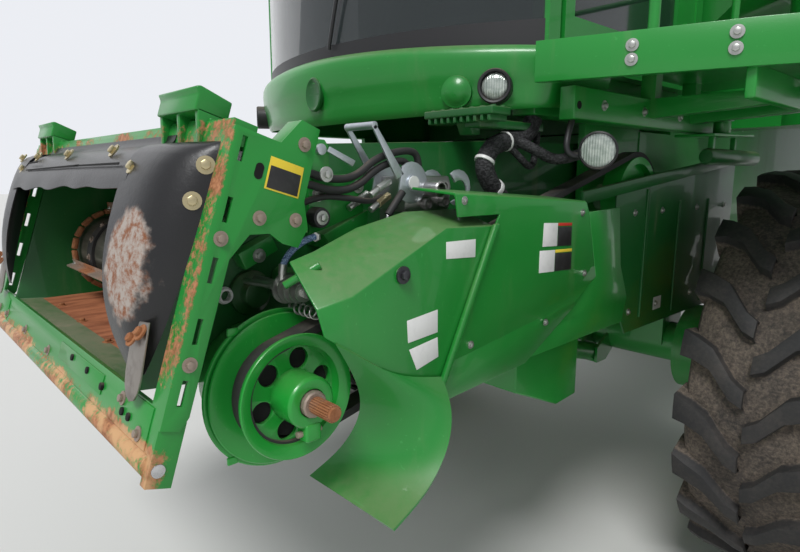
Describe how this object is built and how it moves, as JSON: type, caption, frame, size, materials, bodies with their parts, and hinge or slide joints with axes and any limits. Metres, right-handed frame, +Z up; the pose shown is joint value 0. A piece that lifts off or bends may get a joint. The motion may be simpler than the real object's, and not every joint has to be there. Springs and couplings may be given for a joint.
{
  "type": "combine harvester",
  "caption": "Self-propelled combine harvester with raised feeder house, glazed cab, side platform, grain tank, folding unloading auger and steered rear wheels.",
  "frame": {"origin": "on the ground, midway along and across the whole machine", "axes": "+Z up, +Y to the machine's rear, +X to the machine's left"},
  "size_m": [4.92, 9.8562, 3.892],
  "materials": {
    "green": "satin",
    "wheel_yellow": "satin",
    "tyre_rubber": "matte",
    "glass": "clear",
    "bare_steel": "worn",
    "chrome_rod": "polished",
    "black_rubber": "matte",
    "black_plastic": "matte",
    "cloth": "woven",
    "engine_paint": "painted"
  },
  "bodies": {
    "chassis": {"auger_post": "green", "cab_base_frame": "green", "cab_controls": "black_plastic", "cab_floor": "green", "cab_frame": "green", "cab_glass": "glass", "cab_rear_wall": "green", "cab_roof": "green", "cab_skirt": "green", "chassis_frame": "green", "cooling_screen": "black_plastic", "engine_block": "engine_paint", "engine_deck": "green", "exhaust": "bare_steel", "front_axle": "green", "grain_tank": "green", "panel_brackets": "green", "platform_deck": "green", "platform_rails": "green", "rear_axle": "green", "rear_hood": "green", "seat_back": "cloth", "seat_cushion": "cloth", "separator_body": "green", "straw_chopper": "green", "windshield": "glass"},
    "front_wheels_left": {"front_tyres_left": "tyre_rubber", "front_rims_left": "wheel_yellow"},
    "front_wheels_right": {"front_tyres_right": "tyre_rubber", "front_rims_right": "wheel_yellow"},
    "knuckle_left": {"knuckle_left": "green"},
    "knuckle_right": {"knuckle_right": "green"},
    "rear_wheel_left": {"rear_tyre_left": "tyre_rubber", "rear_rim_left": "wheel_yellow"},
    "rear_wheel_right": {"rear_tyre_right": "tyre_rubber", "rear_rim_right": "wheel_yellow"},
    "feeder": {"front_frame": "green", "feeder_housing": "green", "feeder_drum": "bare_steel", "drive_head": "green", "drive_sheaves": "green", "drive_belt": "black_rubber", "front_shield": "green", "rear_shield": "green", "gear_guard": "green", "multicoupler": "bare_steel"},
    "lift_barrels": {"lift_barrels": "green"},
    "lift_rods": {"lift_rods": "chrome_rod"},
    "auger": {"auger_tube": "green", "auger_spout": "black_rubber"},
    "door": {"cab_door": "green", "cab_door_glass": "glass"},
    "ladder": {"ladder": "green"},
    "panel_left": {"side_panel_left": "green"},
    "panel_right": {"side_panel_right": "green"},
    "lid_left": {"tank_lid_left": "green"},
    "lid_right": {"tank_lid_right": "green"}
  },
  "joints": [
    {"name": "front_wheels_left_spin", "type": "hinge", "parent": "chassis", "child": "front_wheels_left", "pos_m": [1.5, -1.97194, 0.963], "axis": [1, 0, 0], "continuous": true},
    {"name": "front_wheels_right_spin", "type": "hinge", "parent": "chassis", "child": "front_wheels_right", "pos_m": [-1.5, -1.97194, 0.963], "axis": [1, 0, 0], "continuous": true},
    {"name": "steer_left", "type": "hinge", "parent": "chassis", "child": "knuckle_left", "pos_m": [1.06, 1.62806, 0.738], "axis": [0, 0, 1], "range_deg": [-30, 30]},
    {"name": "steer_right", "type": "hinge", "parent": "chassis", "child": "knuckle_right", "pos_m": [-1.06, 1.62806, 0.738], "axis": [0, 0, 1], "range_deg": [-30, 30]},
    {"name": "rear_wheel_left_spin", "type": "hinge", "parent": "knuckle_left", "child": "rear_wheel_left", "pos_m": [1.45, 1.62806, 0.738], "axis": [1, 0, 0], "continuous": true},
    {"name": "rear_wheel_right_spin", "type": "hinge", "parent": "knuckle_right", "child": "rear_wheel_right", "pos_m": [-1.45, 1.62806, 0.738], "axis": [1, 0, 0], "continuous": true},
    {"name": "feeder_lift", "type": "hinge", "parent": "chassis", "child": "feeder", "pos_m": [0, -2.77194, 1.8], "axis": [-1, 0, 0], "range_deg": [-33, 2]},
    {"name": "lift_barrels_tilt", "type": "hinge", "parent": "chassis", "child": "lift_barrels", "pos_m": [0, -2.16194, 0.85], "axis": [-1, 0, 0], "range_deg": [-14.85, 0.99]},
    {"name": "lift_rods_slide", "type": "slide", "parent": "lift_barrels", "child": "lift_rods", "axis": [0, -0.9609, 0.2768], "range_m": [-0.4793, 0.0309]},
    {"name": "auger_swing", "type": "hinge", "parent": "chassis", "child": "auger", "pos_m": [1.35, -1.62194, 3.06], "axis": [0, 0, -1], "range_deg": [0, 105]},
    {"name": "door_swing", "type": "hinge", "parent": "chassis", "child": "door", "pos_m": [0.942, -2.37994, 2.9], "axis": [0, 0, 1], "range_deg": [0, 60]},
    {"name": "ladder_swing", "type": "hinge", "parent": "chassis", "child": "ladder", "pos_m": [1.975, -3.20194, 2.26], "axis": [0, 0, -1], "range_deg": [0, 85]},
    {"name": "panel_left_lift", "type": "hinge", "parent": "chassis", "child": "panel_left", "pos_m": [1.45, 0.67806, 2.7], "axis": [0, -1, 0], "range_deg": [0, 75]},
    {"name": "panel_right_lift", "type": "hinge", "parent": "chassis", "child": "panel_right", "pos_m": [-1.45, 0.67806, 2.7], "axis": [0, 1, 0], "range_deg": [0, 75]},
    {"name": "lid_left_fold", "type": "hinge", "parent": "chassis", "child": "lid_left", "pos_m": [1.136, -0.87194, 3.575], "axis": [0, 1, 0], "range_deg": [0, 110]},
    {"name": "lid_right_fold", "type": "hinge", "parent": "chassis", "child": "lid_right", "pos_m": [-1.416, -0.87194, 3.575], "axis": [0, -1, 0], "range_deg": [0, 110]}
  ],
  "couplings": [
    {"joint": "steer_right", "follows": "steer_left", "ratio": 1},
    {"joint": "lift_barrels_tilt", "follows": "feeder_lift", "ratio": 0.447},
    {"joint": "lift_rods_slide", "follows": "feeder_lift", "m_per_rad": 0.82877}
  ]
}
